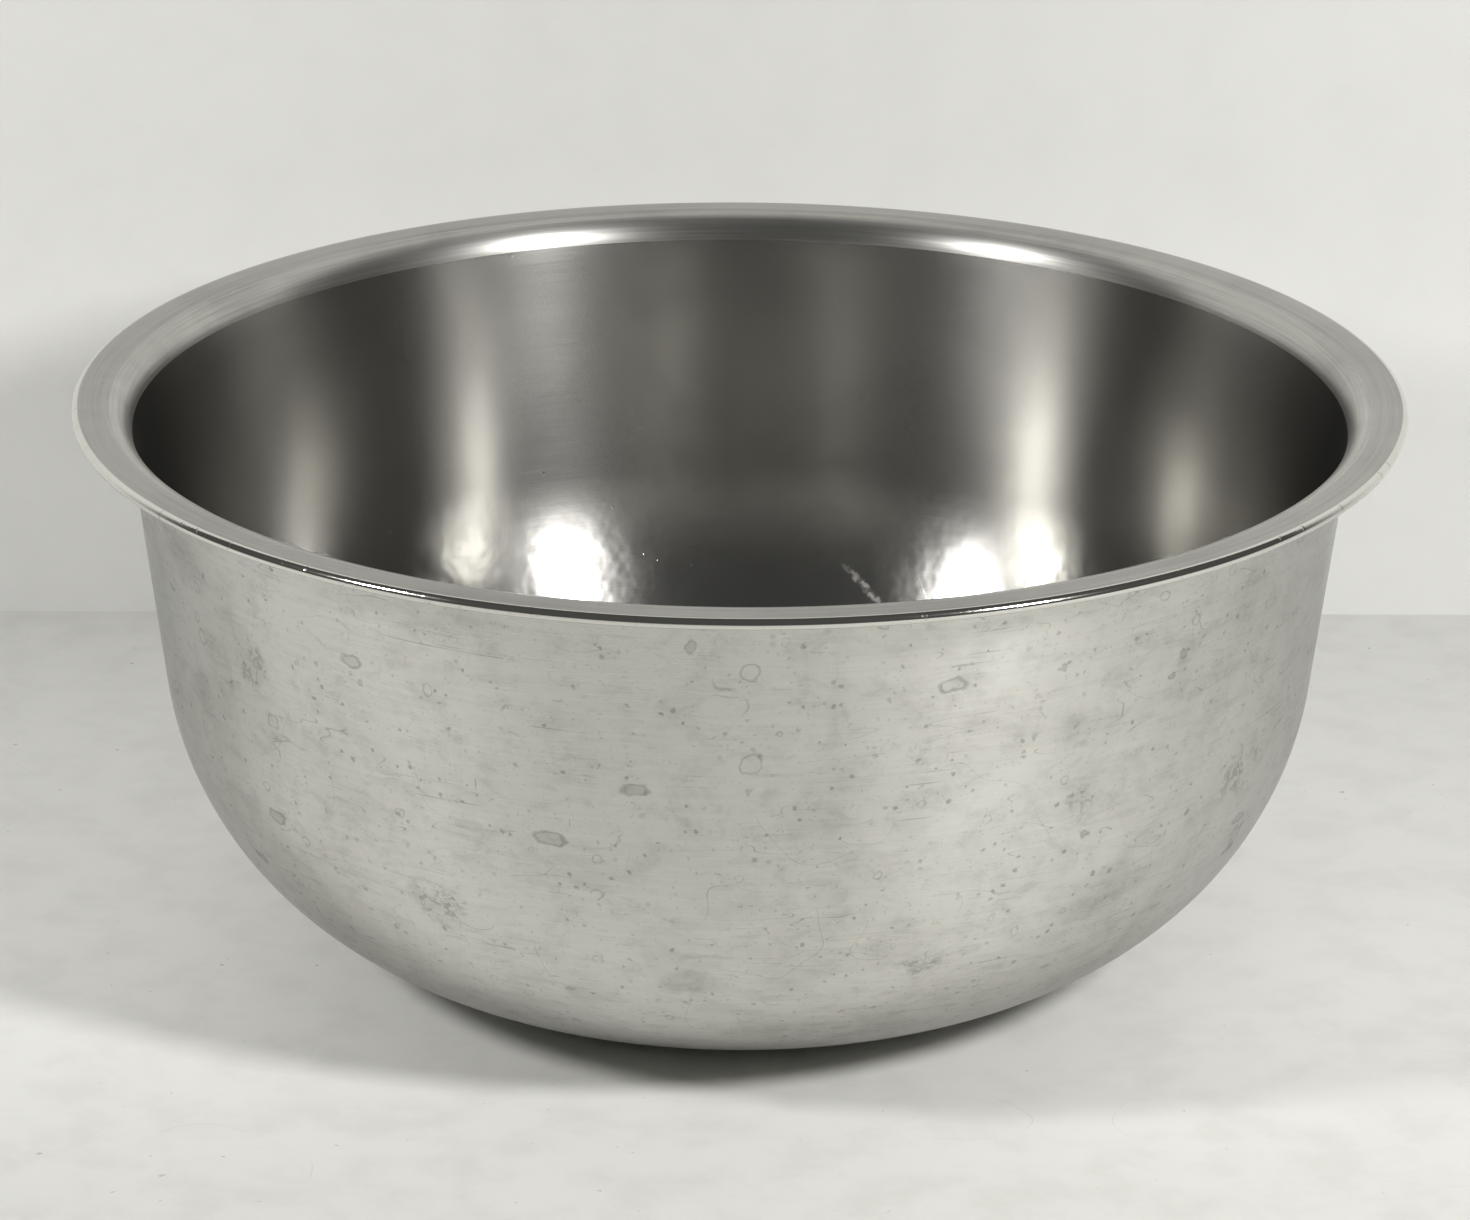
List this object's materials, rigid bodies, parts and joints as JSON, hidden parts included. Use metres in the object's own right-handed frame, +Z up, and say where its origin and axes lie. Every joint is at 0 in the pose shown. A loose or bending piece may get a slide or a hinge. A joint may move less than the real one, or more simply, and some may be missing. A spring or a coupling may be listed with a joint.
{
  "type": "mixing bowl",
  "caption": "Round stainless steel mixing bowl of a stand mixer, with a flat base, a large rounded corner, a leaning wall and a flat turned-out flange with a curled edge.",
  "frame": {"origin": "centre of the flat base, on the surface the bowl stands on", "axes": "+Z up along the bowl's axis, out of its mouth; +X and +Y are any two level directions, because the bowl is round"},
  "size_m": [0.24, 0.24, 0.1047],
  "materials": {
    "steel": "worn satin outside and on the flange, polished inside and on the curled edge"
  },
  "bodies": {
    "root": {"bowl": "steel"}
  },
  "joints": []
}
